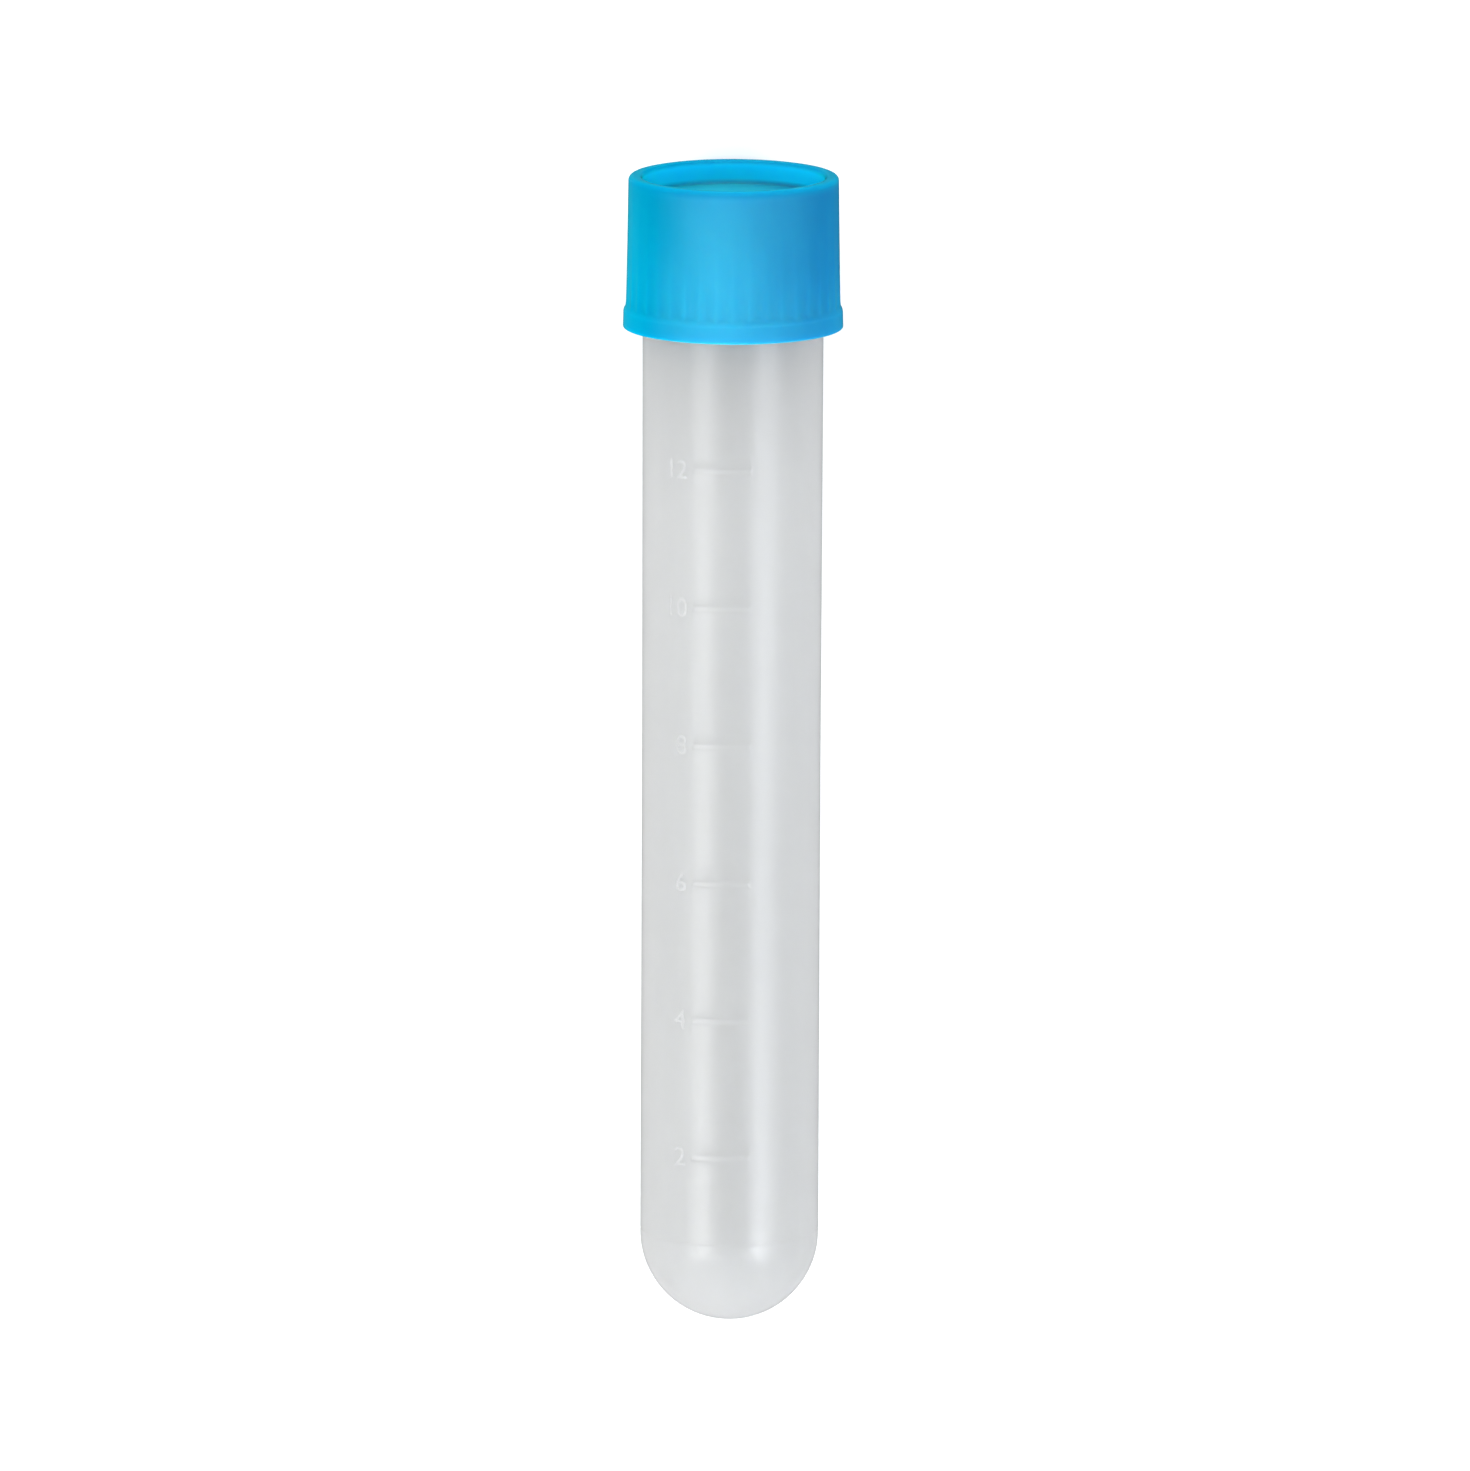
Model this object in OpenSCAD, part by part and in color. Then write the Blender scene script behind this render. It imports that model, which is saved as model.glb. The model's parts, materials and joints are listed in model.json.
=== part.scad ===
// Round-bottom screw-cap tube that holds 15 ml: a moulded body with raised graduations,
// a ribbed cap that screws on and off, and the sealing liner that the cap presses on the rim.
// Each sub-part is modelled upright, on the tube's own axis with the dome's lowest point at
// z = 0. lay_down() then puts it on its side, as it comes to rest on a table: the axis
// runs along +Y, the cap is at the +Y end and the graduations face up.

/* [Tube] */
// Outside diameter of the straight part of the tube
tube_d = 16; // [15:0.1:17]
// Wall thickness of the straight part
wall_t = 0.87; // [0.7:0.01:1]
// Thickness of the dome at its lowest point
floor_t = 1.27; // [1:0.01:2]
// Length from the dome's lowest point to the rim
tube_h = 100; // [90:0.5:120]
// Height at which the moulding starts to widen towards the cap
flare_z = 50; // [30:1:70]
// How much the diameter has grown at the cap
flare_d = 0.2; // [0:0.02:0.3]

/* [Graduations] */
// Volume at the first line, in millilitres
first_ml = 2; // [1:1:3]
// Volume between two lines, in millilitres
step_ml = 2; // [1:1:3]
// Number of lines
line_n = 6; // [1:1:6]
// Height of one line along the tube
line_h = 0.8; // [0.4:0.1:1.2]
// How far a line stands out of the wall
line_t = 0.12; // [0.05:0.01:0.3]
// Where a line starts, in degrees round from the middle of the front
line_from = -26; // [-60:1:-10]
// Where a line ends, in degrees round from the middle of the front
line_to = 13; // [5:1:60]

/* [Thread] */
// Rise of the cap in one turn
pitch = 3; // [2:0.1:3.5]
// Diameter of the plain neck under the thread
neck_d = 15.6; // [15.4:0.05:15.8]
// Diameter over the crests of the neck's thread
crest_d = 16.7; // [16.4:0.05:16.8]
// Number of pieces that the interrupted thread is moulded in
thread_n = 8; // [2:1:8]
// Length of one piece of thread, in degrees
thread_arc = 62; // [30:1:66]
// Width of a thread at its foot, just inside the wall that it stands on
thread_foot = 1.25; // [0.8:0.05:1.3]
// Width of a thread at its crest
thread_crest = 0.6; // [0.3:0.05:0.8]

/* [Cap] */
// Height of the whole cap
cap_h = 13.7; // [13:0.1:15]
// Diameter over the ribs at the top of the cap
cap_top_d = 18.9; // [18.7:0.05:19.1]
// Diameter over the ribs just above the flange
cap_low_d = 19.28; // [19.2:0.02:19.34]
// Diameter of the flange at the cap's open end
flange_d = 19.74; // [19.6:0.02:20]
// Height of the flange
flange_h = 1.6; // [1:0.1:2.5]
// Height of the slope that leads from the flange in to the wall
slope_h = 0.45; // [0.2:0.05:1]
// Diameter of the recess in the top
recess_d = 16.4; // [14:0.1:16.5]
// Depth of the recess
recess_t = 2.1; // [0.5:0.1:3]
// Thickness of the cap's top plate
plate_t = 1.2; // [1:0.1:1.6]
// Inside diameter of the cap
bore_d = 17; // [16.95:0.05:17.2]
// Diameter inside the crests of the cap's thread
cap_crest_d = 15.9; // [15.85:0.05:16.1]
// Diameter inside the small bead that keeps the liner in the cap
bead_d = 16.3; // [16.1:0.05:16.5]
// Diameter of the cap's wall between the ribs, just above the flange
wall_low_d = 19.06; // [18.6:0.02:19.1]
// Diameter of the cap's wall between the ribs, at the top
wall_top_d = 18.84; // [18.4:0.02:18.86]
// Number of grip ribs
rib_n = 40; // [20:1:40]
// Width of a rib at its foot
rib_w = 0.9; // [0.5:0.05:1]

/* [Liner] */
// Diameter of the sealing liner
liner_d = 16.8; // [16.6:0.05:16.85]
// Thickness of the sealing liner
liner_t = 0.96; // [0.6:0.02:1.2]

/* [Hidden] */
$fn = 96;
embed = 0.12;            // how deep small raised shapes are rooted in their wall
edge = 0.4;              // chamfer round the top of the cap
front = -90;             // direction of the graduated side, round the axis

tube_r = tube_d / 2;
bore_r = tube_r - wall_t;
neck_r = neck_d / 2;
mouth_r = tube_r + flare_d / 2;
liner_z = tube_h + 0.01;                                    // the liner all but touches the rim
seat_z = liner_z + liner_t + 0.03;                          // underside of the cap's top plate
cap_z = seat_z + plate_t + recess_t - cap_h;                // the cap's open end
cap_top_z = cap_z + cap_h;
shoulder_z = cap_z + 0.2;                                   // where the wall steps in to the neck
shoulder_h = 0.6;
neck_thread_z = shoulder_z + 2.7;                           // the lowest piece of the neck's thread
thread_offset = 1.2;                                        // the cap's thread sits this much lower
wall_low_r = wall_low_d / 2;
wall_top_r = wall_top_d / 2;
facet_turn = 0.91;                                          // turns the cap to lie on a facet
rib_taper = atan((cap_low_d - cap_top_d) / 2 / (cap_h - flange_h));

// Height of the level that holds a volume: a half ball below, a straight bore above it
inner_dome_z = floor_t + bore_r;
function level_z(ml) = inner_dome_z + (1000 * ml - 2 / 3 * PI * bore_r ^ 3) / (PI * bore_r ^ 2);
// Outside radius at a height, on the straight part or on the flare
function wall_r(z) = tube_r + max(0, z - flare_z) / (shoulder_z - flare_z) * flare_d / 2;

// Resting tilt, at which the dome and the edge of the flange touch the table together
flange_reach = cap_z - tube_r;                              // from the dome's centre
rest_tilt = atan2(flange_d / 2, flange_reach) - asin(tube_r / norm([flange_reach, flange_d / 2]));
// The flange narrows upwards by the resting tilt, so its side lies flat on the table
flange_top_r = flange_d / 2 - flange_h * tan(rest_tilt);
// Length of the lying object, from the dome's end to the low edge of the cap's top
lying_h = tube_r + (cap_top_z - tube_r) * cos(rest_tilt) + (wall_top_r - edge) * sin(rest_tilt);

// Turns a sub-part from upright to its resting pose, centred over the origin
module lay_down() {
    translate([0, tube_r - lying_h / 2, tube_r])
        rotate([rest_tilt - 90, 0, 0])
            translate([0, 0, -tube_r])
                children();
}

// One moulded piece of a right-handed thread: a ring segment leaned to the thread's own slope.
// foot_r is the radius of the wall that it stands on and tip_r is the radius of its crest.
module thread_piece(foot_r, tip_r) {
    root_r = foot_r + sign(foot_r - tip_r) * embed;
    lead = atan(pitch / (PI * (foot_r + tip_r)));
    rotate([lead, 0, 0])
        rotate([0, 0, -thread_arc / 2])
            rotate_extrude(angle = thread_arc)
                polygon([
                    [root_r, -thread_foot / 2], [tip_r, -thread_crest / 2],
                    [tip_r, thread_crest / 2], [root_r, thread_foot / 2]
                ]);
}

// The whole interrupted thread, five pieces to a turn, starting at height z0.
// Half a step of turn puts every piece clear of angle 0, where the revolved walls have their seam.
module thread(foot_r, tip_r, z0) {
    step = 72;
    for (i = [0 : thread_n - 1])
        translate([0, 0, z0 + pitch * i * step / 360])
            rotate([0, 0, (i + 0.5) * step])
                thread_piece(foot_r, tip_r);
}

// One raised line of the scale
module graduation(ml) {
    z = level_z(ml);
    translate([0, 0, z - line_h / 2])
        rotate([0, 0, front + line_from])
            rotate_extrude(angle = line_to - line_from)
                translate([wall_r(z) - embed, 0])
                    square([embed + line_t, line_h]);
}

module tube() {
    color([0.86, 0.87, 0.88])
        lay_down()
            difference() {
                union() {
                    translate([0, 0, tube_r])
                        sphere(r = tube_r);
                    rotate_extrude()
                        polygon([
                            [0, tube_r], [tube_r, tube_r], [tube_r, flare_z],
                            [mouth_r, shoulder_z], [neck_r, shoulder_z + shoulder_h],
                            [neck_r, tube_h], [0, tube_h]
                        ]);
                    thread(neck_r, crest_d / 2, neck_thread_z);
                    for (i = [0 : line_n - 1])
                        graduation(first_ml + i * step_ml);
                }
                translate([0, 0, inner_dome_z])
                    sphere(r = bore_r);
                translate([0, 0, inner_dome_z])
                    cylinder(r = bore_r, h = tube_h);
            }
}

module sealing_liner() {
    color([0.95, 0.95, 0.93])
        lay_down()
            translate([0, 0, liner_z])
                cylinder(d = liner_d, h = liner_t);
}

// One grip rib: its crest leans in towards the top more than the wall does, so it fades upwards
module rib() {
    half = rib_w / 2;
    proud = cap_low_d / 2 - wall_low_r;
    translate([wall_low_r, 0, cap_z + flange_h - embed])
        rotate([0, -rib_taper, 0])
            linear_extrude(cap_h - flange_h - edge)
                polygon([
                    [-embed, -half], [0, -half], [proud, -half / 3],
                    [proud, half / 3], [0, half], [-embed, half]
                ]);
}

module screw_cap() {
    bead_h = 0.5;
    bead_z = liner_z - 0.05 - bead_h;
    lead_in = 0.4;
    color([0.2, 0.68, 0.9])
        lay_down() {
            rotate([0, 0, facet_turn])
                rotate_extrude()
                    polygon([
                        [bore_d / 2 + lead_in, cap_z], [flange_d / 2, cap_z],
                        [flange_top_r, cap_z + flange_h], [wall_low_r, cap_z + flange_h + slope_h],
                        [wall_top_r, cap_top_z - edge], [wall_top_r - edge, cap_top_z],
                        [recess_d / 2, cap_top_z], [recess_d / 2, cap_top_z - recess_t],
                        [0, cap_top_z - recess_t], [0, seat_z],
                        [bore_d / 2, seat_z], [bore_d / 2, bead_z + bead_h],
                        [bead_d / 2, bead_z + bead_h / 2], [bore_d / 2, bead_z],
                        [bore_d / 2, cap_z + lead_in]
                    ]);
            for (i = [0 : rib_n - 1])
                rotate([0, 0, i * 360 / rib_n])
                    rib();
            thread(bore_d / 2, cap_crest_d / 2, neck_thread_z - thread_offset);
        }
}

tube();
sealing_liner();
screw_cap();
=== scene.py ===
"""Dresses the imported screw-cap tube: a frosted polypropylene body with raised volume lines and
figures, a ribbed blue cap, its silicone liner, and a plain studio stage round them.

Each piece is modelled standing up, with its axis on Z, the end of its dome at height 0 and its
scale facing -Y. It is then laid down where the frame has it.
"""

import json
import math

import bmesh
import bpy
from bpy.props import FloatProperty, FloatVectorProperty, IntProperty, PointerProperty
from mathutils import Matrix, Vector


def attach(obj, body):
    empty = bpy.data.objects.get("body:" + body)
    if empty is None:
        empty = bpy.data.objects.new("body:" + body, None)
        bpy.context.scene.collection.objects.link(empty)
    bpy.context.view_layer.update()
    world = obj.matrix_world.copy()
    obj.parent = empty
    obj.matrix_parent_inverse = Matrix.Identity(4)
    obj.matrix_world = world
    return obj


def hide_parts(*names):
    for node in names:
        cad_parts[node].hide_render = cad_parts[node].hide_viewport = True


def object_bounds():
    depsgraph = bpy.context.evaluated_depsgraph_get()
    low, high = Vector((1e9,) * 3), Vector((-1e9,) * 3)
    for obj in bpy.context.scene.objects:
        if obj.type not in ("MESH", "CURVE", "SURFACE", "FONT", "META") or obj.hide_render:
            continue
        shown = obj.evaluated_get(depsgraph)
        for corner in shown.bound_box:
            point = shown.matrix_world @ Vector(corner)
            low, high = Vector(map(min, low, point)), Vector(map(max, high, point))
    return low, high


bl_info = {
    "name": "Screw-cap sample tube",
    "version": (1, 0, 0),
    "blender": (4, 5, 0),
    "location": "3D View > Sidebar > Sample Tube",
    "description": "Builds a round-bottom sample tube with its ribbed cap round a fixed frame",
    "category": "Object",
}

MM = 0.001
MERGE = 0.002 * MM              # points nearer to each other than this become one
CREASE = math.radians(35)       # an edge with a larger turn than this stays sharp
SCALE_SIDE = -math.pi / 2       # direction of the scale, round the upright axis

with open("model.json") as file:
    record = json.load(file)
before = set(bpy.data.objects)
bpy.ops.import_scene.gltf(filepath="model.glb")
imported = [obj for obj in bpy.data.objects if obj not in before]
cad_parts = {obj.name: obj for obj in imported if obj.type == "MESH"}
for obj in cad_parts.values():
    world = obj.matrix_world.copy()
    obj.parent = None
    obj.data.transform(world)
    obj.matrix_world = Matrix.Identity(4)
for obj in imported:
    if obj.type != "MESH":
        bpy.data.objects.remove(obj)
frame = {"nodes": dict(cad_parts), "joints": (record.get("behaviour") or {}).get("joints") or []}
CAD_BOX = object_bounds()


# ------------------------------------------------------------------ where the frame has things

def lying_place(tube_length):
    """The turn and the shift that take an upright tube of that length to its place in the frame."""
    turn = next(j for j in frame["joints"] if j["name"] == "cap_turn")
    along = Vector(turn["axis"])
    lean = Matrix.Rotation(math.atan2(along.z, along.y) - math.pi / 2, 4, "X")
    return Matrix.Translation(turn["pos_m"]) @ lean @ Matrix.Translation((0, 0, -tube_length))


def reach(node):
    """How far a CAD node goes along the tube's axis, lowest and highest, and out from it."""
    upright = lying_place(0).inverted()
    points = [upright @ v.co for v in frame["nodes"][node].data.vertices]
    heights = [p.z for p in points]
    return min(heights), max(heights), max(math.hypot(p.x, p.y) for p in points)


TUBE_LOW, TUBE_HIGH, _ = reach("tube")
TUBE_LENGTH = TUBE_HIGH - TUBE_LOW
CAP_LOW, CAP_HIGH, CAP_OUT = reach("screw_cap")
DISC_LOW, DISC_HIGH, DISC_OUT = reach("sealing_liner")
LAY = lying_place(TUBE_LENGTH)
ALONG = (LAY.to_3x3() @ Vector((0, 0, 1))).normalized()     # from the dome to the cap
FRONT = (LAY.to_3x3() @ Vector((0, -1, 0))).normalized()    # from the axis out through the scale


# ------------------------------------------------------------------ sizes and colours

def linear(code):
    """A colour written as six sRGB hex digits, as linear light with alpha."""
    parts = [int(code[i:i + 2], 16) / 255 for i in (0, 2, 4)]
    return tuple(c / 12.92 if c <= 0.04045 else ((c + 0.055) / 1.055) ** 2.4 for c in parts) + (1.0,)


def length(name, description, metres):
    return FloatProperty(name=name, description=description, default=metres, min=0.0,
                         unit="LENGTH", precision=5)


def angle(name, description, degrees):
    return FloatProperty(name=name, description=description, default=math.radians(degrees),
                         subtype="ANGLE", unit="ROTATION")


def colour(name, description, code):
    return FloatVectorProperty(name=name, description=description, default=linear(code),
                               size=4, min=0.0, max=1.0, subtype="COLOR")


def count(name, description, number):
    return IntProperty(name=name, description=description, default=number, min=1)


class BodySizes(bpy.types.PropertyGroup):
    tall: length("Length", "From the end of the dome to the rim", TUBE_LENGTH)
    radius: length("Radius", "Outside radius of the straight part", 8.0 * MM)
    bore: length("Bore radius", "Inside radius of the tube", 7.13 * MM)
    floor: length("Floor", "Thickness of the dome at its end", 1.27 * MM)
    witness: length("Witness line", "Height of the mould's fine line over the dome", 0.27 * MM)
    witness_wide: length("Witness width", "Width of that line", 0.24 * MM)
    witness_deep: length("Witness depth", "Depth of that line", 0.03 * MM)
    flare_from: length("Flare from", "Height above which the wall opens slightly", 50.0 * MM)
    flare: length("Flare", "How much larger the radius is at the shoulder", 0.1 * MM)
    shoulder: length("Shoulder", "Height where the wall steps in to the neck",
                     CAP_LOW + TUBE_LENGTH + 0.2 * MM)
    shoulder_high: length("Shoulder height", "Height of that step", 0.6 * MM)
    neck: length("Neck radius", "Outside radius of the neck under the cap", 7.8 * MM)
    crest: length("Thread crest", "Outside radius of the neck's thread", 8.35 * MM)


class ThreadSizes(bpy.types.PropertyGroup):
    pitch: length("Pitch", "Rise of both threads in one turn", 3.0 * MM)
    pieces: count("Pieces", "Number of pieces that a thread is moulded in", 8)
    arc: angle("Piece", "Length of one piece, round the axis", 62)
    step: angle("Step", "From one piece to the next, round the axis", 72)
    fade: angle("Fade", "Length over which the end of a piece fades out", 9)
    foot: length("Foot", "Half the width of a thread at its foot", 0.62 * MM)
    tip: length("Crest", "Half the width of a thread at its crest", 0.3 * MM)
    rooted: length("Root", "How deep a thread is rooted in its wall", 0.05 * MM)
    neck_from: length("Neck thread", "From the shoulder up to the neck's lowest piece", 2.7 * MM)
    cap_from: length("Cap thread", "From the open end up to the cap's lowest piece", 1.7 * MM)


class ScaleSizes(bpy.types.PropertyGroup):
    first: count("First line", "Volume at the lowest line, in ml", 2)
    step: count("Step", "Volume between two lines, in ml", 2)
    lines: count("Lines", "Number of raised lines", 6)
    line_high: length("Line height", "Height of a raised line", 0.8 * MM)
    line_proud: length("Line relief", "How far a line stands out from the wall", 0.06 * MM)
    line_from: angle("Line start", "Left end of the lines, round from the front", -26.25)
    line_to: angle("Line end", "Right end of the lines, round from the front", 13.125)
    figure_high: length("Figure height", "Height of the raised figures", 1.7 * MM)
    figure_proud: length("Figure relief", "How far a figure stands out from the wall", 0.04 * MM)
    figure_edge: length("Figure edge", "Rounding of a figure, and how deep it is rooted", 0.02 * MM)
    figure_end: angle("Figure end", "Right end of the figures, round from the front", -29.5)


class CapSizes(bpy.types.PropertyGroup):
    low: length("Open end", "Height of the cap's open end", CAP_LOW + TUBE_LENGTH)
    high: length("Top", "Height of the cap's top", CAP_HIGH + TUBE_LENGTH)
    flange: length("Flange radius", "Radius of the smooth flange at its lower edge", CAP_OUT)
    flange_top: length("Flange top radius", "Radius of the flange at its upper edge", 9.83 * MM)
    flange_high: length("Flange height", "Height of the flange", 1.6 * MM)
    slope: length("Slope height", "Height of the slope from the flange in to the wall", 0.45 * MM)
    wall_low: length("Low wall radius", "Wall between the ribs, just above the flange", 9.53 * MM)
    wall_top: length("Top wall radius", "Wall between the ribs, at the top", 9.42 * MM)
    ribs: count("Ribs", "Number of grip ribs", 40)
    rib_low: length("Rib relief", "Height of a rib just above the flange", 0.09 * MM)
    rib_top: length("Rib relief at top", "Height of a rib at the top", 0.01 * MM)
    recess: length("Recess radius", "Radius of the recess in the top", 8.2 * MM)
    recess_deep: length("Recess depth", "Depth of the recess", 2.1 * MM)
    recess_edge: length("Recess edge", "Rounding of the recess's rim", 0.35 * MM)
    plate: length("Plate", "Thickness of the top plate", 1.2 * MM)
    bore: length("Bore radius", "Inside radius of the cap", 8.5 * MM)
    lead_in: length("Lead-in", "Chamfer inside the open end", 0.4 * MM)
    bead: length("Bead", "From the bead that keeps the liner in up to the tube's rim", 0.54 * MM)
    bead_high: length("Bead height", "Height of the bead", 0.5 * MM)
    bead_proud: length("Bead relief", "How far the bead stands in from the bore", 0.35 * MM)
    crest: length("Thread crest", "Inside radius of the cap's thread", 7.95 * MM)


class DiscSizes(bpy.types.PropertyGroup):
    low: length("Underside", "Height of the liner's underside", DISC_LOW + TUBE_LENGTH)
    high: length("Top", "Height of the liner's top", DISC_HIGH + TUBE_LENGTH)
    radius: length("Radius", "Radius of the liner", DISC_OUT)


class Finishes(bpy.types.PropertyGroup):
    body: colour("Body", "Natural polypropylene", "E4E6E7")
    body_haze: colour("Body haze", "Milkier streaks in the polypropylene", "DCDEDF")
    cap: colour("Cap", "Light blue polyethylene", "3799BD")
    # painted light and shade: the cap leans to green on its lit left side and is deeper on its shaded
    # right side
    cap_green: colour("Cap, greener", "The side where the blue leans to green", "0086AB")
    cap_shaded_side: colour("Cap, deeper", "The side where the pigment lies thicker", "0C5A92")
    cap_recess: colour("Cap, recess", "The recess, whose thin rim light shines through", "12BCD9")
    liner: colour("Liner", "White silicone", "ECEBE4")
    floor: colour("Floor", "Pale matt studio floor", "FAFAFA")


class StageSettings(bpy.types.PropertyGroup):
    elevation: angle("Camera tilt", "How far the camera looks down on the cap's top", 10.6)
    lean: angle("Lean", "How far the tube leans to the right in the view", 0.25)
    distance: length("Distance", "From the camera to the tube", 2.4)
    field: length("Field", "Height of the view at the tube", 132.05 * MM)
    aim_high: length("Aim", "Height along the tube that the camera looks at", 53.34 * MM)
    aim_right: length("Aim right", "Sideways shift of that point", 0.33 * MM)


class TubeSettings(bpy.types.PropertyGroup):
    body: PointerProperty(type=BodySizes)
    thread: PointerProperty(type=ThreadSizes)
    scale: PointerProperty(type=ScaleSizes)
    cap: PointerProperty(type=CapSizes)
    disc: PointerProperty(type=DiscSizes)
    finish: PointerProperty(type=Finishes)
    stage: PointerProperty(type=StageSettings)


# ------------------------------------------------------------------ modelling helpers

AROUND_BODY = 192       # steps round the body, so that a raised line ends on a step
AROUND_RIB = 12         # steps round the cap for each rib
AROUND_DISC = 96        # steps round the liner
UP_OUTER_DOME = 28      # steps from the end of the dome to its equator, outside
UP_INNER_DOME = 24      # and inside
ALONG_THREAD = 18       # steps along one piece of thread
ROUND_FILLET = 5        # steps round a rounded edge


def wire(bm, corners):
    """Joins corners (out, height, fillet) by one open wire in the plane of X and Z, and rounds
    each corner that has a fillet. Fillets are slid lengths along the two edges."""
    verts = [bm.verts.new((out, 0, high)) for out, high, _ in corners]
    for a, b in zip(verts, verts[1:]):
        bm.edges.new((a, b))
    for vert, (_, _, fillet) in zip(verts, corners):
        if fillet:
            bmesh.ops.bevel(bm, geom=[vert], offset=fillet, offset_type="OFFSET", affect="VERTICES",
                            segments=ROUND_FILLET, profile=0.5, material=-1)


def dome(bm, radius, centre_high, steps):
    """A quarter circle of wire, from the axis up to the equator of a dome."""
    pole = bm.verts.new((0, 0, centre_high - radius))
    bmesh.ops.spin(bm, geom=[pole], cent=(0, 0, centre_high), axis=(0, -1, 0),
                   angle=math.pi / 2, steps=steps)


def divide_long(bm, longest):
    """Cuts the wire's long edges into pieces that aren't longer than that."""
    for edge in list(bm.edges):
        cuts = int(edge.calc_length() / longest)
        if cuts:
            bmesh.ops.subdivide_edges(bm, edges=[edge], cuts=cuts)


def spin_round(bm, steps):
    """Spins the wire round the axis into a closed skin, with its seam and poles merged."""
    bmesh.ops.remove_doubles(bm, verts=bm.verts, dist=MERGE)
    bmesh.ops.spin(bm, geom=list(bm.verts) + list(bm.edges), cent=(0, 0, 0), axis=(0, 0, 1),
                   angle=math.tau, steps=steps, use_merge=True)
    bmesh.ops.remove_doubles(bm, verts=bm.verts, dist=MERGE)
    bmesh.ops.recalc_face_normals(bm, faces=bm.faces)


def thread_pieces(bm, thread, root, tip, first_high):
    """The pieces of a right-handed thread, from radius root to radius tip, with faded ends."""
    least = 0.08        # share of the relief that is left at the very end, so that no face is flat
    section = [(root, -thread.foot), (tip, -thread.tip), (tip, thread.tip), (root, thread.foot)]
    for i in range(thread.pieces):
        start = (i + 0.5) * thread.step - thread.arc / 2
        high = first_high + thread.pitch * (i * thread.step - thread.arc / 2) / math.tau
        face = bm.faces.new([bm.verts.new((out, 0, high + up)) for out, up in section])
        bmesh.ops.rotate(bm, verts=face.verts, cent=(0, 0, 0), matrix=Matrix.Rotation(start, 3, "Z"))
        before = set(bm.verts) - set(face.verts)
        rise = thread.pitch * thread.arc / math.tau / ALONG_THREAD
        bmesh.ops.spin(bm, geom=list(face.verts) + list(face.edges) + [face], cent=(0, 0, 0),
                       axis=(0, 0, 1), dvec=(0, 0, rise), angle=thread.arc, steps=ALONG_THREAD)
        for v in set(bm.verts) - before:
            out = math.hypot(v.co.x, v.co.y)
            turn = (math.atan2(v.co.y, v.co.x) - start) % math.tau
            if turn > math.pi + thread.arc:     # the start itself, a rounding short of a full turn
                turn = 0.0
            fade = min(1.0, turn / thread.fade, (thread.arc - turn) / thread.fade)
            wanted = root + (out - root) * max(least, fade)
            v.co.x *= wanted / out
            v.co.y *= wanted / out
    bmesh.ops.recalc_face_normals(bm, faces=bm.faces)


def lay_piece(bm, name, body, material, replaced=()):
    """Lays the upright piece down in the frame and makes it a finished object on its CAD body."""
    bmesh.ops.transform(bm, matrix=LAY, verts=bm.verts)
    mesh = bpy.data.meshes.new(name)
    bm.to_mesh(mesh)
    bm.free()
    mesh.polygons.foreach_set("use_smooth", [True] * len(mesh.polygons))
    mesh.set_sharp_from_angle(angle=CREASE)
    mesh.materials.append(material)
    piece = bpy.data.objects.new(name, mesh)
    bpy.context.scene.collection.objects.link(piece)
    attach(piece, body)
    if replaced:
        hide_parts(*replaced)


# ------------------------------------------------------------------ materials

COLOUR_A, COLOUR_B, MIXED = 6, 7, 2     # the colour sockets of a Mix node


def add(tree, kind, settings=None, inputs=None):
    """Adds a shader node. Settings are its own, and inputs are values or sockets to link from."""
    made = tree.nodes.new("ShaderNode" + kind)
    for key, value in (settings or {}).items():
        setattr(made, key, value)
    for key, value in (inputs or {}).items():
        if isinstance(value, bpy.types.NodeSocket):
            tree.links.new(value, made.inputs[key])
        else:
            made.inputs[key].default_value = value
    return made


def get_material(name, make, settings):
    """The material of that name. On its first use, make builds its nodes and gives its shader."""
    material = bpy.data.materials.get(name)
    if material is None:
        material = bpy.data.materials.new(name)
        material.use_nodes = True
        tree = material.node_tree
        tree.nodes.clear()
        shader = make(tree, settings)
        add(tree, "OutputMaterial", None, {"Surface": shader.outputs[0]})
    return material


def axis_place(tree, scale=(1, 1, 1)):
    """Object coordinates turned so that Z runs along the tube, with a scale for each way."""
    spot = add(tree, "TexCoord").outputs["Object"]
    turned = add(tree, "Mapping", {"vector_type": "TEXTURE"}, {
        "Vector": spot, "Rotation": LAY.to_euler(), "Location": LAY.translation})
    return add(tree, "Mapping", None, {"Vector": turned.outputs[0], "Scale": scale}).outputs[0]


def blasted_grain(tree):
    """The fine grain that a vapour-blasted core leaves, as a noise and its relief."""
    # it has 6.5 grains to the millimetre
    grain = add(tree, "TexNoise", None, {
        "Vector": axis_place(tree), "Scale": 6.5 / MM, "Detail": 2.0})
    relief = add(tree, "Bump", None, {
        "Strength": 0.06, "Distance": 0.03 * MM, "Height": grain.outputs[0]})
    return grain, relief


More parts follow.
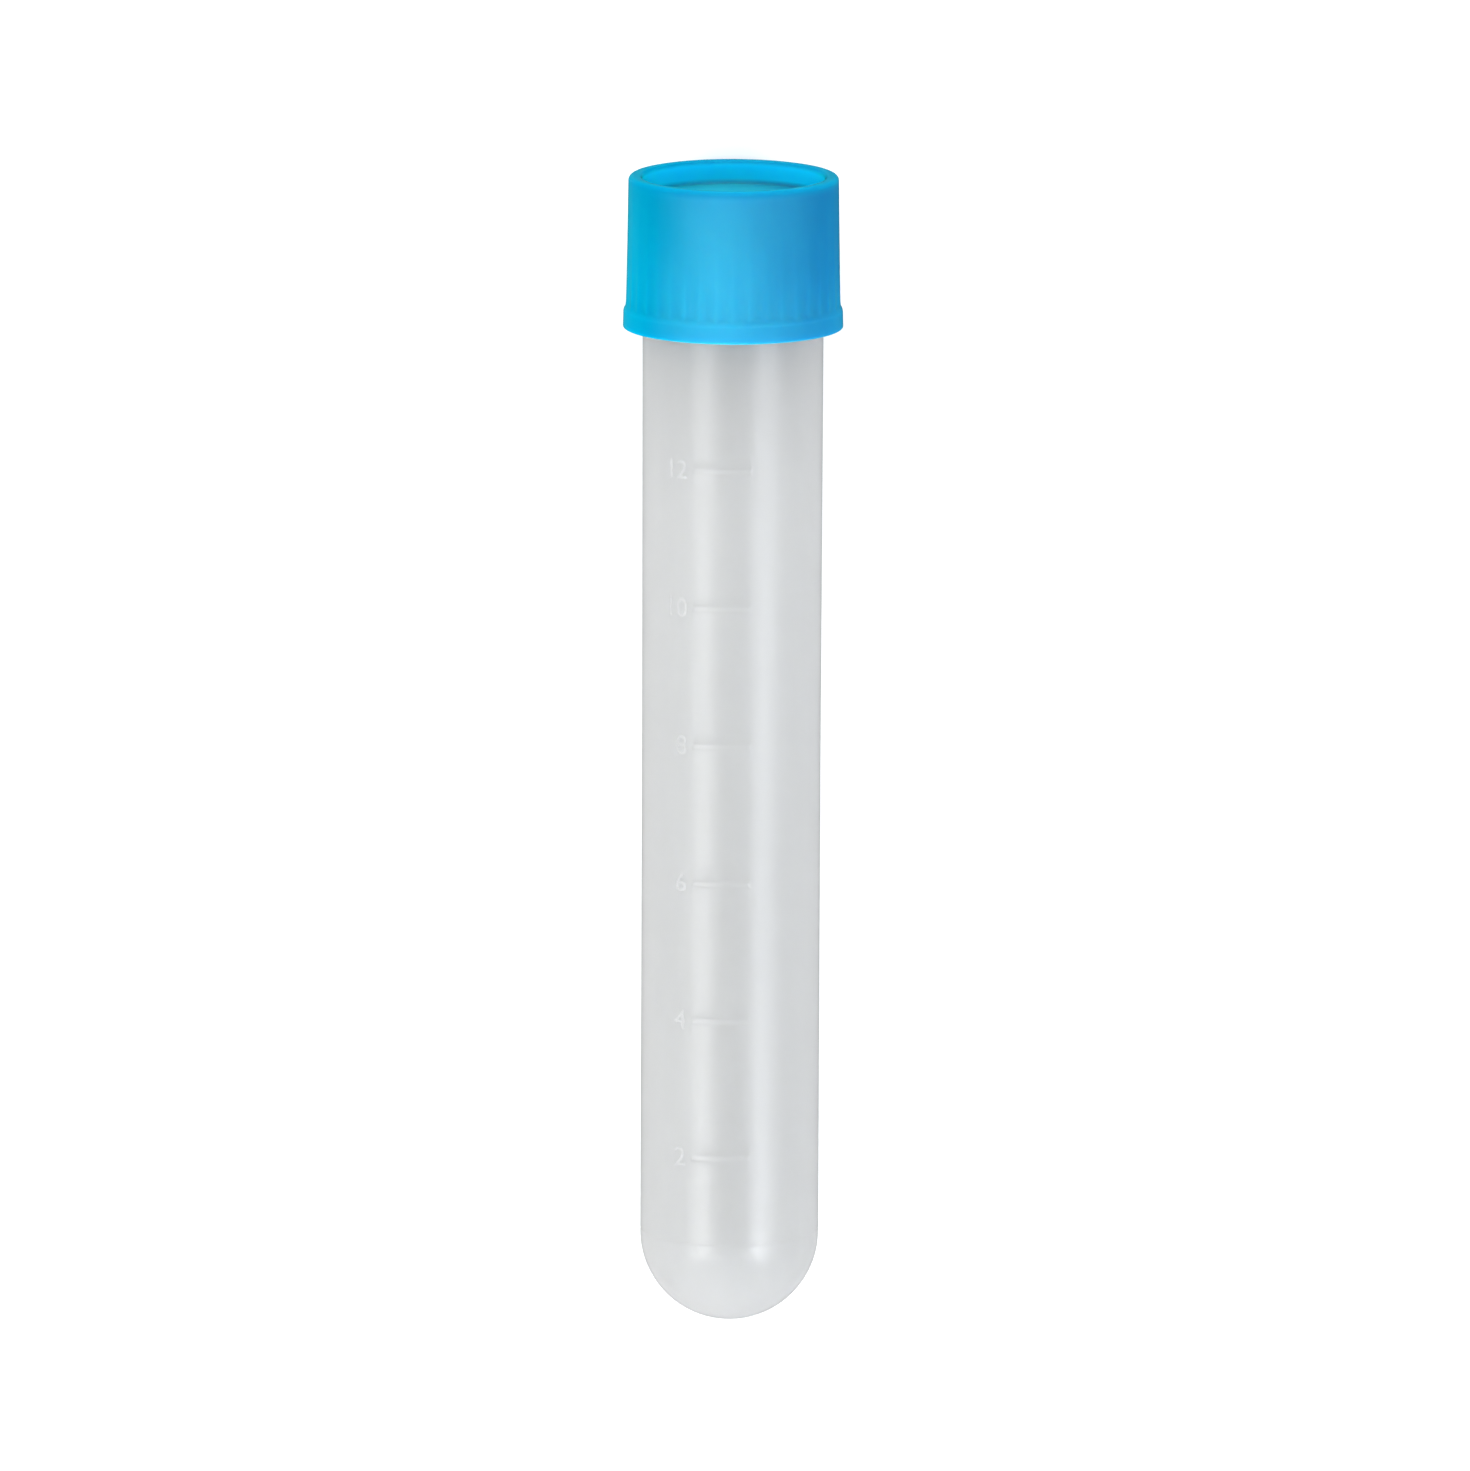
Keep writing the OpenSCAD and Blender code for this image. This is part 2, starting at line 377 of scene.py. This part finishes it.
def natural_polypropylene(tree, settings):
    """Natural polypropylene, injection moulded against a vapour-blasted steel core. The crystals
    in it scatter light, so it looks milky and blurs what is behind it, and its skin is satin."""
    finish, shoulder = settings.finish, settings.body.shoulder
    # flow streaks run along the tube, about 4 mm wide and 45 mm long
    across, along = 0.26 / MM, 0.022 / MM
    streaks = add(tree, "TexNoise", None, {
        "Vector": axis_place(tree, (across, across, along)), "Scale": 1.0, "Detail": 3.0,
        "Roughness": 0.5})
    haze = add(tree, "Mix", {"data_type": "RGBA"}, {
        0: streaks.outputs[0], COLOUR_A: tuple(finish.body), COLOUR_B: tuple(finish.body_haze)})
    # the tube is painted a little darker towards the shoulder, as shade from the cap; its wall is also
    # a little thicker there
    thicker = add(tree, "MapRange", {"interpolation_type": "SMOOTHSTEP"}, {
        "Value": add(tree, "SeparateXYZ", None, {0: axis_place(tree)}).outputs["Z"],
        "From Min": shoulder - 18.8 * MM, "From Max": shoulder + 0.2 * MM,
        "To Min": 1.0, "To Max": 0.86})
    tone = add(tree, "HueSaturation", None, {
        "Color": haze.outputs[MIXED], "Value": thicker.outputs[0]})
    satin = add(tree, "MapRange", None, {
        "Value": streaks.outputs[0], "To Min": 0.26, "To Max": 0.36})
    _, relief = blasted_grain(tree)
    return add(tree, "BsdfPrincipled", {"subsurface_method": "RANDOM_WALK"}, {
        "Base Color": tone.outputs[0], "Roughness": satin.outputs[0], "IOR": 1.49,
        "Specular IOR Level": 0.4, "Transmission Weight": 0.55, "Subsurface Weight": 1.0,
        "Subsurface Radius": (3.0 * MM, 3.0 * MM, 3.2 * MM), "Subsurface Scale": 1.0,
        # a coat of index 1 has no gloss and only absorbs, which draws the thin dark outline
        "Coat Weight": 0.5, "Coat Roughness": 0.3, "Coat IOR": 1.0,
        "Coat Tint": (0.85, 0.85, 0.85, 1.0),
        "Normal": relief.outputs[0]})


def thin_relief(tree, settings):
    """The same natural polypropylene where it is raised a few hundredths of a millimetre. It is
    made mostly clear, so that only a trace of the raised figures shows."""
    finish = settings.finish
    grain, relief = blasted_grain(tree)
    tone = add(tree, "Mix", {"data_type": "RGBA"}, {
        0: grain.outputs[0], COLOUR_A: tuple(finish.body), COLOUR_B: tuple(finish.body_haze)})
    return add(tree, "BsdfPrincipled", None, {
        "Base Color": tone.outputs[MIXED], "Roughness": 0.3, "IOR": 1.49, "Alpha": 0.14,
        "Normal": relief.outputs[0]})


def wall_colour_with_painted_light(tree, settings, place):
    """The cap's colour outside, with painted light and shade: it leans to green on its lit left side,
    is painted deeper on its shaded right side, and is darker at its top.
    """
    finish, low, top = settings.finish, settings.cap.low, settings.cap.high
    high = place.outputs["Z"]
    # the two meet in uneven clouds, about 6 mm wide and 10 mm high
    clouds = add(tree, "TexNoise", None, {
        "Vector": axis_place(tree, (1, 1, 0.6)), "Scale": 0.17 / MM, "Detail": 2.0})
    drift = add(tree, "MapRange", None, {
        "Value": clouds.outputs[0], "To Min": -1.5 * MM, "To Max": 1.5 * MM})
    across = add(tree, "Math", {"operation": "ADD"}, {0: place.outputs["X"], 1: drift.outputs[0]})
    # painted light: the lit left side leans to green
    green = add(tree, "MapRange", {"interpolation_type": "SMOOTHSTEP"}, {
        "Value": across.outputs[0], "From Min": -7.5 * MM, "From Max": -1.0 * MM})
    lit_left_colour = add(tree, "Mix", {"data_type": "RGBA"}, {
        0: green.outputs[0], COLOUR_A: tuple(finish.cap_green), COLOUR_B: tuple(finish.cap)})
    # painted shade: the right side, away from the light, is deeper
    deep = add(tree, "MapRange", {"interpolation_type": "SMOOTHSTEP"}, {
        "Value": across.outputs[0], "From Min": -2.0 * MM, "From Max": 11.0 * MM})
    # the painted shade on the right side is paler towards the open end
    right_shade_fade = add(tree, "MapRange", {"interpolation_type": "SMOOTHSTEP"}, {
        "Value": high, "From Min": low - 0.1 * MM, "From Max": low + 7.4 * MM,
        "To Min": 0.72, "To Max": 0.9})
    right_shade_share = add(tree, "Math", {"operation": "MULTIPLY"}, {0: deep.outputs[0], 1: right_shade_fade.outputs[0]})
    pigment = add(tree, "Mix", {"data_type": "RGBA"}, {
        0: right_shade_share.outputs[0], COLOUR_A: lit_left_colour.outputs[MIXED], COLOUR_B: tuple(finish.cap_shaded_side)})
    # its top is painted darker, as shade, and the edge there leans to green and is darker still
    top_painted_shade = add(tree, "MapRange", None, {
        "Value": high, "From Min": top - 8.8 * MM, "From Max": top - 1.0 * MM,
        "To Min": 1.03, "To Max": 0.87})
    top_edge = add(tree, "MapRange", {"interpolation_type": "SMOOTHSTEP"}, {
        "Value": high, "From Min": top - 0.9 * MM, "From Max": top - 0.1 * MM, "To Max": 0.8})
    edged = add(tree, "Mix", {"data_type": "RGBA"}, {
        0: top_edge.outputs[0], COLOUR_A: pigment.outputs[MIXED], COLOUR_B: tuple(finish.cap_green)})
    depth = add(tree, "Math", {"operation": "MULTIPLY_ADD"}, {
        0: top_edge.outputs[0], 1: -0.12, 2: top_painted_shade.outputs[0]})
    return add(tree, "HueSaturation", None, {"Color": edged.outputs[MIXED], "Value": depth.outputs[0]})


def recess_share(tree, cap, place):
    """How much of a spot lies on the recess's wall: above its floor, under its rim and inside."""
    high, floor_high = place.outputs["Z"], cap.high - cap.recess_deep
    above = add(tree, "MapRange", None, {
        "Value": high, "From Min": floor_high + 0.05 * MM, "From Max": floor_high + 0.5 * MM})
    below = add(tree, "MapRange", {"interpolation_type": "SMOOTHSTEP"}, {
        "Value": high, "From Min": cap.high - 0.55 * MM, "From Max": cap.high - 0.05 * MM,
        "To Min": 1.0, "To Max": 0.0})
    between = add(tree, "Math", {"operation": "MULTIPLY"}, {0: above.outputs[0], 1: below.outputs[0]})
    out = add(tree, "VectorMath", {"operation": "LENGTH"}, {0: axis_place(tree, (1, 1, 0))})
    inside = add(tree, "MapRange", None, {
        "Value": out.outputs[1], "From Min": cap.recess + cap.recess_edge, "From Max": cap.recess})
    return add(tree, "Math", {"operation": "MULTIPLY"}, {0: between.outputs[0], 1: inside.outputs[0]})


def blue_polyethylene(tree, settings):
    """Pigmented polyethylene, injection moulded in a polished tool. Light enters it and comes out
    again softened, so thin rims glow. Its gloss is turned down until it hardly shows, which leaves
    a soft and even face with faint tool marks."""
    place = add(tree, "SeparateXYZ", None, {0: axis_place(tree)})
    wall = wall_colour_with_painted_light(tree, settings, place)
    # the recess's wall is made brighter, for the light that shines through the rim round it
    lit = recess_share(tree, settings.cap, place)
    tone = add(tree, "Mix", {"data_type": "RGBA"}, {
        0: lit.outputs[0], COLOUR_A: wall.outputs[0], COLOUR_B: tuple(settings.finish.cap_recess)})
    # sink marks about 1.4 mm wide, with finer tool marks in them
    skin = add(tree, "TexNoise", None, {
        "Vector": axis_place(tree), "Scale": 0.7 / MM, "Detail": 2.0})
    satin = add(tree, "MapRange", None, {
        "Value": skin.outputs[0], "To Min": 0.26, "To Max": 0.34})
    relief = add(tree, "Bump", None, {
        "Strength": 0.02, "Distance": 0.02 * MM, "Height": skin.outputs[0]})
    return add(tree, "BsdfPrincipled", {"subsurface_method": "RANDOM_WALK"}, {
        "Base Color": tone.outputs[MIXED], "Roughness": satin.outputs[0], "IOR": 1.52,
        "Subsurface Weight": 1.0, "Subsurface Scale": 1.0,
        "Subsurface Radius": (0.6 * MM, 1.6 * MM, 2.4 * MM),
        # far less gloss than the real plastic has
        "Specular IOR Level": 0.003,
        # a coat of index 1 has no gloss and only absorbs, which deepens the colour at the outline
        "Coat Weight": 0.8, "Coat Roughness": 0.3, "Coat IOR": 1.0,
        "Coat Tint": (0.65, 0.92, 0.9, 1.0),
        "Normal": relief.outputs[0]})


def white_silicone(tree, settings):
    """Silicone sheet, calendered and punched. It is matt, soft and slightly translucent."""
    # the calender leaves a fine grain of about 0.2 mm
    grain = add(tree, "TexNoise", None, {
        "Vector": axis_place(tree), "Scale": 4.8 / MM, "Detail": 3.0})
    shade = add(tree, "MapRange", None, {
        "Value": grain.outputs[0], "To Min": 0.96, "To Max": 1.03})
    tone = add(tree, "HueSaturation", None, {
        "Color": tuple(settings.finish.liner), "Value": shade.outputs[0]})
    relief = add(tree, "Bump", None, {
        "Strength": 0.2, "Distance": 0.05 * MM, "Height": grain.outputs[0]})
    return add(tree, "BsdfPrincipled", None, {
        "Base Color": tone.outputs[0], "Roughness": 0.62, "IOR": 1.41,
        "Subsurface Weight": 0.5, "Subsurface Radius": (1.0 * MM, 1.0 * MM, 0.9 * MM),
        "Subsurface Scale": 1.0, "Normal": relief.outputs[0]})


def matt_floor(tree, settings):
    """Pale matt studio card, with a tooth of about a millimetre."""
    tooth = add(tree, "TexNoise", None, {
        "Vector": add(tree, "TexCoord").outputs["Object"], "Scale": 0.9 / MM, "Detail": 2.0})
    relief = add(tree, "Bump", None, {
        "Strength": 0.02, "Distance": 0.1 * MM, "Height": tooth.outputs[0]})
    return add(tree, "BsdfPrincipled", None, {
        "Base Color": tuple(settings.finish.floor), "Roughness": 0.9, "Specular IOR Level": 0.2,
        "Normal": relief.outputs[0]})


# ------------------------------------------------------------------ the pieces

class SAMPLETUBE_OT_body(bpy.types.Operator):
    """Makes the tube's hollow body with its raised volume lines, and the thread on its neck"""

    bl_idname = "sampletube.body"
    bl_label = "Body and neck thread"
    bl_options = {"REGISTER", "UNDO"}

    def execute(self, context):
        settings = context.scene.sample_tube
        s, scale, thread = settings.body, settings.scale, settings.thread
        inner_equator = s.floor + s.bore
        witness = s.radius + s.witness
        bm = bmesh.new()
        dome(bm, s.radius, s.radius, UP_OUTER_DOME)
        wire(bm, [
            (s.radius, s.radius, 0),
            (s.radius, witness - s.witness_wide / 2, 0),
            (s.radius - s.witness_deep, witness, 0),
            (s.radius, witness + s.witness_wide / 2, 0),
            (s.radius, s.flare_from, 0),
            (s.radius + s.flare, s.shoulder, 0.2 * MM),
            (s.neck, s.shoulder + s.shoulder_high, 0.15 * MM),
            (s.neck, s.tall, 0.25 * MM),
            (s.bore, s.tall, 0.25 * MM),
            (s.bore, inner_equator, 0),
        ])
        dome(bm, s.bore, inner_equator, UP_INNER_DOME)
        bmesh.ops.remove_doubles(bm, verts=bm.verts, dist=MERGE)
        for level in line_heights(s, scale):
            cut_wall(bm, s, level - scale.line_high / 2)
            cut_wall(bm, s, level + scale.line_high / 2)
        divide_long(bm, 1.2 * MM)
        spin_round(bm, AROUND_BODY)
        raise_lines(bm, s, scale)
        bmesh.ops.recalc_face_normals(bm, faces=bm.faces)
        material = get_material("Natural polypropylene, moulded", natural_polypropylene, settings)
        lay_piece(bm, "tube_body", "tube", material, ["tube"])

        bm = bmesh.new()
        thread_pieces(bm, thread, s.neck - thread.rooted, s.crest, s.shoulder + thread.neck_from)
        lay_piece(bm, "neck_thread", "tube", material)
        return {"FINISHED"}


def line_heights(s, scale):
    """Height of each raised line: a half ball below, and a straight bore above it."""
    ball = 2 / 3 * math.pi * s.bore ** 3
    millilitre = 1e-6       # in cubic metres
    volumes = [(scale.first + i * scale.step) * millilitre for i in range(scale.lines)]
    return [s.floor + s.bore + (v - ball) / (math.pi * s.bore ** 2) for v in volumes]


def wall_radius(s, high):
    """The body's outside radius at a height, on the straight part or on the flare."""
    share = (high - s.flare_from) / (s.shoulder - s.flare_from)
    return s.radius + s.flare * max(0.0, share)


def is_outer(s, out):
    """Whether a distance from the axis is that of the body's outer wall, and not of its bore."""
    return out > (s.bore + s.radius) / 2


def cut_wall(bm, s, high):
    """Cuts the outer wall's wire at a height, so that an edge of a raised line can lie there."""
    for edge in bm.edges:
        a, b = sorted(edge.verts, key=lambda v: v.co.z)
        if a.co.z < high < b.co.z and is_outer(s, min(a.co.x, b.co.x)):
            bmesh.utils.edge_split(edge, a, (high - a.co.z) / (b.co.z - a.co.z))
            return


def raise_lines(bm, s, scale):
    """Raises the faces of the outer wall under each line, in three steps that round its edges."""
    steps = ((0.12, 0.5), (0.13, 0.35), (0.1, 0.15))    # inset by line height, rise by relief
    middle = SCALE_SIDE + (scale.line_from + scale.line_to) / 2
    half = (scale.line_to - scale.line_from) / 2
    for level in line_heights(s, scale):
        faces = []
        for face in bm.faces:
            spot = face.calc_center_median()
            if abs(spot.z - level) < scale.line_high / 2 and is_outer(s, math.hypot(spot.x, spot.y)):
                turn = math.remainder(math.atan2(spot.y, spot.x) - middle, math.tau)
                if abs(turn) < half:
                    faces.append(face)
        for inset, rise in steps:
            bmesh.ops.inset_region(bm, faces=faces, thickness=inset * scale.line_high,
                                   depth=rise * scale.line_proud,
                                   use_even_offset=True, use_boundary=True)


class SAMPLETUBE_OT_figures(bpy.types.Operator):
    """Makes the raised figures beside the volume lines, bent round the wall"""

    bl_idname = "sampletube.figures"
    bl_label = "Raised figures"
    bl_options = {"REGISTER", "UNDO"}

    def execute(self, context):
        settings = context.scene.sample_tube
        s, scale = settings.body, settings.scale
        bm = bmesh.new()
        for i, level in enumerate(line_heights(s, scale)):
            wall = wall_radius(s, level)
            figure = bmesh.new()
            raised_number(figure, str(scale.first + i * scale.step), scale)
            for v in figure.verts:
                turn = SCALE_SIDE + scale.figure_end + v.co.x / wall
                out = wall - scale.figure_edge + v.co.z
                high = level - scale.figure_high / 2 + v.co.y
                v.co = (out * math.cos(turn), out * math.sin(turn), high)
            whole = bpy.data.meshes.new("figure")
            figure.to_mesh(whole)
            figure.free()
            bm.from_mesh(whole)
            bpy.data.meshes.remove(whole)
        bmesh.ops.recalc_face_normals(bm, faces=bm.faces)
        material = get_material("Natural polypropylene, thin relief", thin_relief, settings)
        lay_piece(bm, "scale_figures", "tube", material)
        return {"FINISHED"}


def raised_number(bm, number, scale):
    """Adds a number as a flat solid: its right edge at X 0, its foot at Y 0 and its back at Z 0."""
    digit_share = 0.7       # height of a digit as a share of its type size
    curve = bpy.data.curves.new("number", "FONT")
    curve.body = number
    curve.align_x = "RIGHT"
    curve.size = scale.figure_high / digit_share
    curve.extrude = scale.figure_proud / 2
    curve.bevel_depth = scale.figure_edge
    curve.bevel_resolution = 1
    curve.resolution_u = 6
    holder = bpy.data.objects.new("number", curve)
    bpy.context.scene.collection.objects.link(holder)
    evaluated = holder.evaluated_get(bpy.context.evaluated_depsgraph_get())
    solid = bpy.data.meshes.new_from_object(evaluated)
    bm.from_mesh(solid)
    bpy.data.objects.remove(holder)
    bpy.data.curves.remove(curve)
    bpy.data.meshes.remove(solid)
    bmesh.ops.remove_doubles(bm, verts=bm.verts, dist=MERGE / 2)
    bmesh.ops.translate(bm, verts=bm.verts, vec=(0, 0, scale.figure_proud / 2))


class SAMPLETUBE_OT_liner(bpy.types.Operator):
    """Makes the soft sealing disc that lies on the tube's rim under the cap"""

    bl_idname = "sampletube.liner"
    bl_label = "Sealing liner"
    bl_options = {"REGISTER", "UNDO"}

    def execute(self, context):
        settings = context.scene.sample_tube
        s = settings.disc
        edge = 0.15 * MM
        bm = bmesh.new()
        wire(bm, [(0, s.low, 0), (s.radius, s.low, edge), (s.radius, s.high, edge), (0, s.high, 0)])
        divide_long(bm, 0.8 * MM)
        spin_round(bm, AROUND_DISC)
        material = get_material("White silicone, calendered", white_silicone, settings)
        lay_piece(bm, "seal_disc", "liner", material, ["sealing_liner"])
        return {"FINISHED"}


class SAMPLETUBE_OT_cap(bpy.types.Operator):
    """Makes the ribbed screw cap and the thread inside it"""

    bl_idname = "sampletube.cap"
    bl_label = "Ribbed cap and its thread"
    bl_options = {"REGISTER", "UNDO"}

    def execute(self, context):
        settings = context.scene.sample_tube
        s, thread = settings.cap, settings.thread
        flange_high = s.low + s.flange_high
        floor_high = s.high - s.recess_deep
        seat_high = floor_high - s.plate
        bead = settings.body.tall - s.bead
        bm = bmesh.new()
        wire(bm, [
            (0, floor_high, 0),
            (s.recess, floor_high, 0.25 * MM),
            (s.recess, s.high, s.recess_edge),
            (s.wall_top, s.high, 0.42 * MM),
            (s.wall_low, flange_high + s.slope, 0.25 * MM),
            (s.flange_top, flange_high, 0.2 * MM),
            (s.flange, s.low, 0.12 * MM),
            (s.bore + s.lead_in, s.low, 0.1 * MM),
            (s.bore, s.low + s.lead_in, 0.1 * MM),
            (s.bore, bead, 0.05 * MM),
            (s.bore - s.bead_proud, bead + s.bead_high / 2, 0.1 * MM),
            (s.bore, bead + s.bead_high, 0.05 * MM),
            (s.bore, seat_high, 0.1 * MM),
            (0, seat_high, 0),
        ])
        divide_long(bm, 0.7 * MM)
        spin_round(bm, s.ribs * AROUND_RIB)
        raise_ribs(bm, s, flange_high)
        bmesh.ops.recalc_face_normals(bm, faces=bm.faces)
        material = get_material("Blue polyethylene, moulded", blue_polyethylene, settings)
        lay_piece(bm, "ribbed_cap", "cap", material, ["screw_cap"])

        bm = bmesh.new()
        thread_pieces(bm, thread, s.bore + thread.rooted, s.crest, s.low + thread.cap_from)
        lay_piece(bm, "cap_thread", "cap", material)
        return {"FINISHED"}


def raise_ribs(bm, s, flange_high):
    """Moves the outer wall out into grip ribs, which deepen from the top down to the flange."""
    low, high = flange_high + 0.2 * MM, s.high - 0.3 * MM
    low_end, top_end = 0.5 * MM, 0.4 * MM       # lengths over which a rib's ends rise
    outer = s.wall_top - 0.1 * MM               # nothing farther in than this is outer wall
    spacing = math.tau / s.ribs
    half_rib = 0.4 * spacing
    for v in bm.verts:
        out = math.hypot(v.co.x, v.co.y)
        if low <= v.co.z <= high and out > outer:
            down = (high - v.co.z) / (high - low)
            relief = s.rib_top + (s.rib_low - s.rib_top) * down ** 3
            ends = min(1.0, (v.co.z - low) / low_end, (high - v.co.z) / top_end)
            across = math.remainder(math.atan2(v.co.y, v.co.x), spacing) / half_rib
            crest = 0.5 + 0.5 * math.cos(math.pi * min(1.0, abs(across)))
            grown = 1 + relief * math.sin(ends * math.pi / 2) * crest / out
            v.co.x *= grown
            v.co.y *= grown


# ------------------------------------------------------------------ the stage

# Studio lights: degrees round the tube from the front, metres along it from its middle and out
# from it, width and height in metres, watts, and colour
LIGHTS = {
    "key_softbox": (-37, -0.17, 0.8, 0.42, 0.5, 2.4, "FFFFFF"),
    "key_core": (-35, -0.30, 0.8, 0.16, 0.18, 0.65, "FFFFFF"),
    "fill_softbox": (43, -0.17, 0.8, 0.5, 0.5, 2.6, "F6F9FF"),
    "fill_core": (40, -0.30, 0.8, 0.18, 0.18, 1.5, "F6F9FF"),
    "end_softbox": (0, 0.9, 0.4, 0.8, 0.5, 4.0, "FFFFFF"),
    "rim_card": (0, 0.094, 0.026, 0.05, 0.02, 0.012, "FFFFFF"),
}

# The walls of a white room, along each direction from the tube: where its brightness begins and
# ends to change, and how bright it is at either end
ROOM = {
    "Z": (0.15, 0.95, 1.85, 0.88),      # brighter low round the sides than overhead
    "X": (-0.9, 0.9, 1.12, 0.75),       # brighter on the left
    "Y": (-0.9, 0.9, 1.1, 0.7),         # brighter beyond the dome than beyond the cap
}


def facing(place, target, up):
    """The matrix of something at place that looks at target along its own -Z."""
    back = (place - target).normalized()
    right = up.cross(back).normalized()
    turned = Matrix((right, back.cross(right), back)).transposed().to_4x4()
    return Matrix.Translation(place) @ turned


def softbox(name, degrees, along, distance, wide, tall, watts, tint):
    """A rectangular studio light that looks at the middle of the tube."""
    round_angle = math.radians(degrees)
    side = math.sin(round_angle) * Vector((1, 0, 0)) + math.cos(round_angle) * FRONT
    middle = LAY @ Vector((0, 0, TUBE_LENGTH / 2))
    data = bpy.data.lights.new(name, "AREA")
    data.shape = "RECTANGLE"
    data.size, data.size_y = wide, tall
    data.energy = watts
    data.color = linear(tint)[:3]
    light = bpy.data.objects.new(name, data)
    light.matrix_world = facing(middle + side * distance + ALONG * along, middle, ALONG)
    light.visible_camera = False
    bpy.context.scene.collection.objects.link(light)


def lay_floor(scene, settings):
    """A large card under the lying tube."""
    bm = bmesh.new()
    bmesh.ops.create_grid(bm, x_segments=4, y_segments=4, size=3.0)
    bmesh.ops.translate(bm, verts=bm.verts, vec=(0, 0, CAD_BOX[0].z))
    mesh = bpy.data.meshes.new("studio_floor")
    bm.to_mesh(mesh)
    bm.free()
    mesh.materials.append(get_material("Pale studio card", matt_floor, settings))
    floor = bpy.data.objects.new("studio_floor", mesh)
    scene.collection.objects.link(floor)


def surround(scene):
    """Surroundings as bright as the walls of the room."""
    world = bpy.data.worlds.new("Studio surroundings")
    world.use_nodes = True
    tree = world.node_tree
    tree.nodes.clear()
    way = add(tree, "SeparateXYZ", None, {0: add(tree, "TexCoord").outputs["Generated"]})
    power = 1.0
    for axis, (start, end, start_bright, end_bright) in ROOM.items():
        share = add(tree, "MapRange", {"interpolation_type": "SMOOTHSTEP"}, {
            "Value": way.outputs[axis], "From Min": start, "From Max": end,
            "To Min": start_bright, "To Max": end_bright})
        power = add(tree, "Math", {"operation": "MULTIPLY"}, {0: power, 1: share.outputs[0]}).outputs[0]
    glow = add(tree, "Background", None, {"Color": linear("FFFFFF"), "Strength": power})
    add(tree, "OutputWorld", None, {"Surface": glow.outputs[0]})
    scene.world = world


def aim_camera(scene, s):
    """A camera far in front of the scale, which looks a little down on the cap's top."""
    target = LAY @ Vector((s.aim_right, 0, s.aim_high))
    back = math.cos(s.elevation) * FRONT + math.sin(s.elevation) * ALONG
    up = math.cos(s.elevation) * ALONG - math.sin(s.elevation) * FRONT
    up = math.cos(s.lean) * up - math.sin(s.lean) * Vector((1, 0, 0))
    data = bpy.data.cameras.new("camera")
    data.lens = data.sensor_width * s.distance / s.field
    data.clip_start, data.clip_end = 0.05, 10.0
    camera = bpy.data.objects.new("camera", data)
    camera.matrix_world = facing(target + back * s.distance, target, up)
    scene.collection.objects.link(camera)
    scene.camera = camera
    scene.view_settings.view_transform = "Standard"


class SAMPLETUBE_OT_stage(bpy.types.Operator):
    """Makes the pale floor, the soft lights, the surroundings and the camera"""

    bl_idname = "sampletube.stage"
    bl_label = "Stage"
    bl_options = {"REGISTER", "UNDO"}

    def execute(self, context):
        settings = context.scene.sample_tube
        lay_floor(context.scene, settings)
        for name, light in LIGHTS.items():
            softbox(name, *light)
        surround(context.scene)
        aim_camera(context.scene, settings.stage)
        return {"FINISHED"}


class SAMPLETUBE_PT_panel(bpy.types.Panel):
    """Lists the pieces of the sample tube"""

    bl_idname = "SAMPLETUBE_PT_panel"
    bl_label = "Sample Tube"
    bl_space_type = "VIEW_3D"
    bl_region_type = "UI"
    bl_category = "Sample Tube"

    def draw(self, context):
        settings = context.scene.sample_tube
        for operator, groups in PIECES:
            box = self.layout.box()
            box.operator(operator.bl_idname)
            for group in groups:
                list_values(box, getattr(settings, group))
        list_values(self.layout.box(), settings.finish)


def list_values(box, group):
    """Lists a group's own values, without the two that every group has."""
    for name in group.bl_rna.properties.keys():
        if name not in ("rna_type", "name"):
            box.prop(group, name)


# Each operator, in the order of work, with the groups of sizes that the panel lists under it
PIECES = (
    (SAMPLETUBE_OT_body, ("body", "thread")),
    (SAMPLETUBE_OT_figures, ("scale",)),
    (SAMPLETUBE_OT_liner, ("disc",)),
    (SAMPLETUBE_OT_cap, ("cap",)),
    (SAMPLETUBE_OT_stage, ("stage",)),
)
CLASSES = (
    BodySizes, ThreadSizes, ScaleSizes, CapSizes, DiscSizes, Finishes, StageSettings, TubeSettings,
    *(operator for operator, _ in PIECES), SAMPLETUBE_PT_panel,
)


def register():
    for cls in CLASSES:
        bpy.utils.register_class(cls)
    bpy.types.Scene.sample_tube = PointerProperty(type=TubeSettings)


def unregister():
    del bpy.types.Scene.sample_tube
    for cls in reversed(CLASSES):
        bpy.utils.unregister_class(cls)


def main():
    register()
    bpy.ops.sampletube.body()
    bpy.ops.sampletube.figures()
    bpy.ops.sampletube.liner()
    bpy.ops.sampletube.cap()
    bpy.ops.sampletube.stage()


if __name__ == "__main__":
    main()
